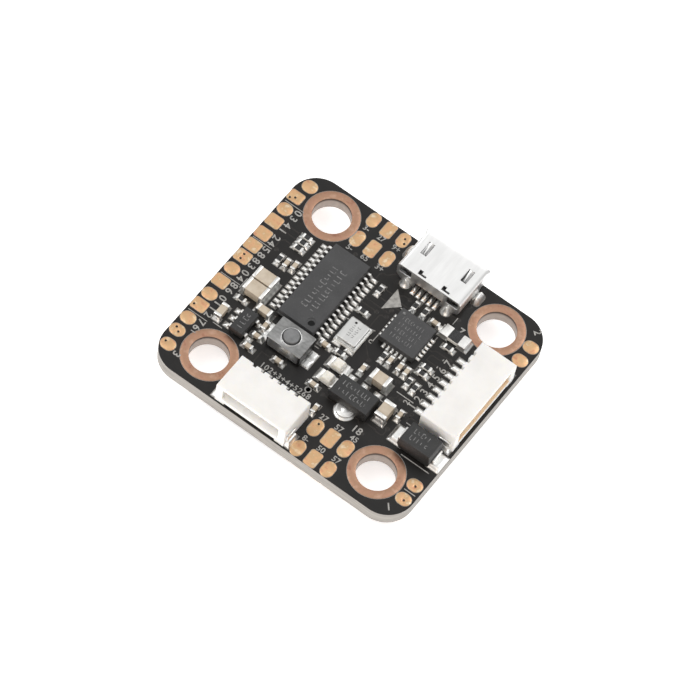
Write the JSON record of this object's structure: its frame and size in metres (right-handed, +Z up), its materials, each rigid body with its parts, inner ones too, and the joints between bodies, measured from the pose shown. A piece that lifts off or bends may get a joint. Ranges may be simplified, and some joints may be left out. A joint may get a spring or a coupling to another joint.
{
  "type": "flight controller board",
  "caption": "Square black circuit board for a small multirotor, with four plated mounting holes, edge pads, a micro USB socket, wire sockets, chips and a boot button.",
  "frame": {"origin": "centre of the 20 by 20 mm hole pattern, on the board's lower face", "axes": "+X forward, the way the printed arrow points; +Y towards the USB socket; +Z up, away from the processor"},
  "size_m": [0.0296, 0.0272, 0.0061],
  "materials": {
    "bare_copper_plating": "satin",
    "beige_ceramic": "satin",
    "black_glaze": "gloss",
    "black_polyester": "satin",
    "black_solder_mask": "semi-gloss",
    "clear_epoxy": "gloss",
    "epoxy_mould_compound": "matt",
    "glass_epoxy_laminate": "satin",
    "gold_flash": "satin",
    "grey_nylon": "matt",
    "nickel_plated_steel": "satin",
    "silicon": "polished",
    "stainless_steel": "satin",
    "tin_plate": "bright",
    "tin_solder": "bright",
    "white_ceramic": "satin",
    "white_nylon": "satin"
  },
  "bodies": {
    "board": {"barometer_base": "white_ceramic", "barometer_die": "silicon", "barometer_lid": "nickel_plated_steel", "barometer_terminals": "tin_plate", "bulk_capacitor_bodies": "beige_ceramic", "bulk_capacitor_terminals": "tin_plate", "button_base": "black_polyester", "button_cover": "stainless_steel", "button_dome": "stainless_steel", "button_terminals": "tin_plate", "circuit_board": "glass_epoxy_laminate", "component_lands_top": "tin_solder", "component_lands_underside": "tin_solder", "crystal_lid": "nickel_plated_steel", "crystal_tray": "white_ceramic", "filter_capacitor_bodies": "beige_ceramic", "filter_capacitor_terminals": "tin_plate", "flash_chip_body": "epoxy_mould_compound", "flash_chip_lands": "tin_plate", "front_connector_contacts": "tin_plate", "front_connector_housing": "white_nylon", "front_connector_tabs": "tin_plate", "front_edge_pads": "gold_flash", "fuse_body": "white_ceramic", "fuse_terminals": "tin_plate", "fuse_window": "black_glaze", "gyro_chip_body": "epoxy_mould_compound", "gyro_chip_lands": "tin_plate", "hole_platings": "bare_copper_plating", "led_bases": "white_ceramic", "led_lenses": "clear_epoxy", "led_terminals": "tin_plate", "left_edge_pads": "gold_flash", "main_processor_body": "epoxy_mould_compound", "main_processor_leads": "tin_plate", "osd_chip_body": "epoxy_mould_compound", "osd_chip_leads": "tin_plate", "power_diode_body": "epoxy_mould_compound", "power_diode_leads": "tin_plate", "power_regulator_body": "epoxy_mould_compound", "power_regulator_leads": "tin_plate", "rear_edge_pads": "gold_flash", "resistor_bodies": "white_ceramic", "resistor_glazes": "black_glaze", "resistor_terminals": "tin_plate", "right_connector_contacts": "tin_plate", "right_connector_housing": "white_nylon", "right_connector_tabs": "tin_plate", "right_edge_pads": "gold_flash", "small_capacitor_bodies": "beige_ceramic", "small_capacitor_terminals": "tin_plate", "small_regulator_body": "epoxy_mould_compound", "small_regulator_leads": "tin_plate", "solder_mask_top": "black_solder_mask", "solder_mask_underside": "black_solder_mask", "underside_pads": "gold_flash", "usb_contacts": "gold_flash", "usb_insulator": "black_polyester", "usb_shell": "nickel_plated_steel"},
    "plunger": {"button_plunger": "grey_nylon"}
  },
  "joints": [
    {"name": "button_press", "type": "slide", "parent": "board", "child": "plunger", "axis": [0, 0, -1], "range_m": [0, 0.00025], "stiffness_N_per_m": 6000, "springref_m": -0.00005, "deforming": ["button_dome"]}
  ]
}
